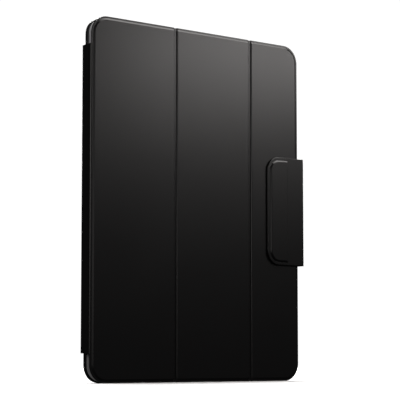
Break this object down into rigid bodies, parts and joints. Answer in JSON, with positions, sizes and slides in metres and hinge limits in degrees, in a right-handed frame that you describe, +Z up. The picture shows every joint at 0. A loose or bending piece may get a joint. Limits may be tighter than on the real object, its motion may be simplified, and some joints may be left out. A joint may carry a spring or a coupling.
{
  "type": "tablet case",
  "caption": "Black folio cover for a tablet with a folding front cover, a spine strip and a magnetic closure flap, standing closed.",
  "frame": {"origin": "middle of the footprint at the bottom of the closed case as it stands upright", "axes": "+X from the spine to the closure flap, -Y out of the front cover, +Z up along the spine"},
  "size_m": [0.1864, 0.0156, 0.25],
  "materials": {
    "soft_touch": "matte soft-touch polyurethane leather",
    "microfibre": "brushed microfibre",
    "stiffener_board": "raw greyboard",
    "steel": "plated",
    "moulded_trim": "satin"
  },
  "bodies": {
    "back_cover": {"back_outer_skin": "soft_touch", "back_board": "stiffener_board", "back_lining": "microfibre", "back_magnets": "steel", "camera_ring": "moulded_trim", "flap_root": "soft_touch", "spine_rear_crease": "soft_touch", "flap_rear_crease": "soft_touch"},
    "spine": {"spine_outer_skin": "soft_touch", "spine_board": "stiffener_board", "spine_lining": "microfibre", "spine_front_crease": "soft_touch"},
    "front_panel_1": {"panel_1_skin": "soft_touch", "panel_1_board": "stiffener_board", "panel_1_lining": "microfibre", "panel_1_magnets": "steel", "panel_crease_1": "soft_touch"},
    "front_panel_2": {"panel_2_skin": "soft_touch", "panel_2_board": "stiffener_board", "panel_2_lining": "microfibre", "panel_crease_2": "soft_touch"},
    "front_panel_3": {"panel_3_skin": "soft_touch", "panel_3_board": "stiffener_board", "panel_3_lining": "microfibre", "panel_3_magnets": "steel", "closure_keeper": "steel"},
    "flap_side": {"flap_side_skin": "soft_touch", "flap_side_lining": "microfibre", "flap_front_crease": "soft_touch"},
    "flap_tongue": {"flap_tongue_skin": "soft_touch", "flap_tongue_lining": "microfibre", "flap_tongue_plate": "stiffener_board", "flap_magnets": "steel"}
  },
  "joints": [
    {"name": "spine_rear_fold", "type": "hinge", "parent": "back_cover", "child": "spine", "pos_m": [-0.09215, 0.00575, 0.125], "axis": [0, 0, -1], "range_deg": [0, 180], "deforming": ["spine_rear_crease"]},
    {"name": "cover_fold", "type": "hinge", "parent": "spine", "child": "front_panel_1", "pos_m": [-0.09215, -0.00445, 0.125], "axis": [0, 0, -1], "range_deg": [0, 180], "deforming": ["spine_front_crease"]},
    {"name": "panel_fold_1", "type": "hinge", "parent": "front_panel_1", "child": "front_panel_2", "pos_m": [-0.02298, -0.00445, 0.125], "axis": [0, 0, 1], "range_deg": [-90, 0], "deforming": ["panel_crease_1"]},
    {"name": "panel_fold_2", "type": "hinge", "parent": "front_panel_2", "child": "front_panel_3", "pos_m": [0.04341, -0.00445, 0.125], "axis": [0, 0, 1], "range_deg": [-90, 0], "deforming": ["panel_crease_2"]},
    {"name": "flap_side_fold", "type": "hinge", "parent": "back_cover", "child": "flap_side", "pos_m": [0.09225, 0.00715, 0.125], "axis": [0, 0, 1], "range_deg": [0, 180], "deforming": ["flap_rear_crease"]},
    {"name": "flap_tongue_fold", "type": "hinge", "parent": "flap_side", "child": "flap_tongue", "pos_m": [0.09225, -0.0066, 0.125], "axis": [0, 0, 1], "range_deg": [0, 180], "deforming": ["flap_front_crease"]}
  ]
}
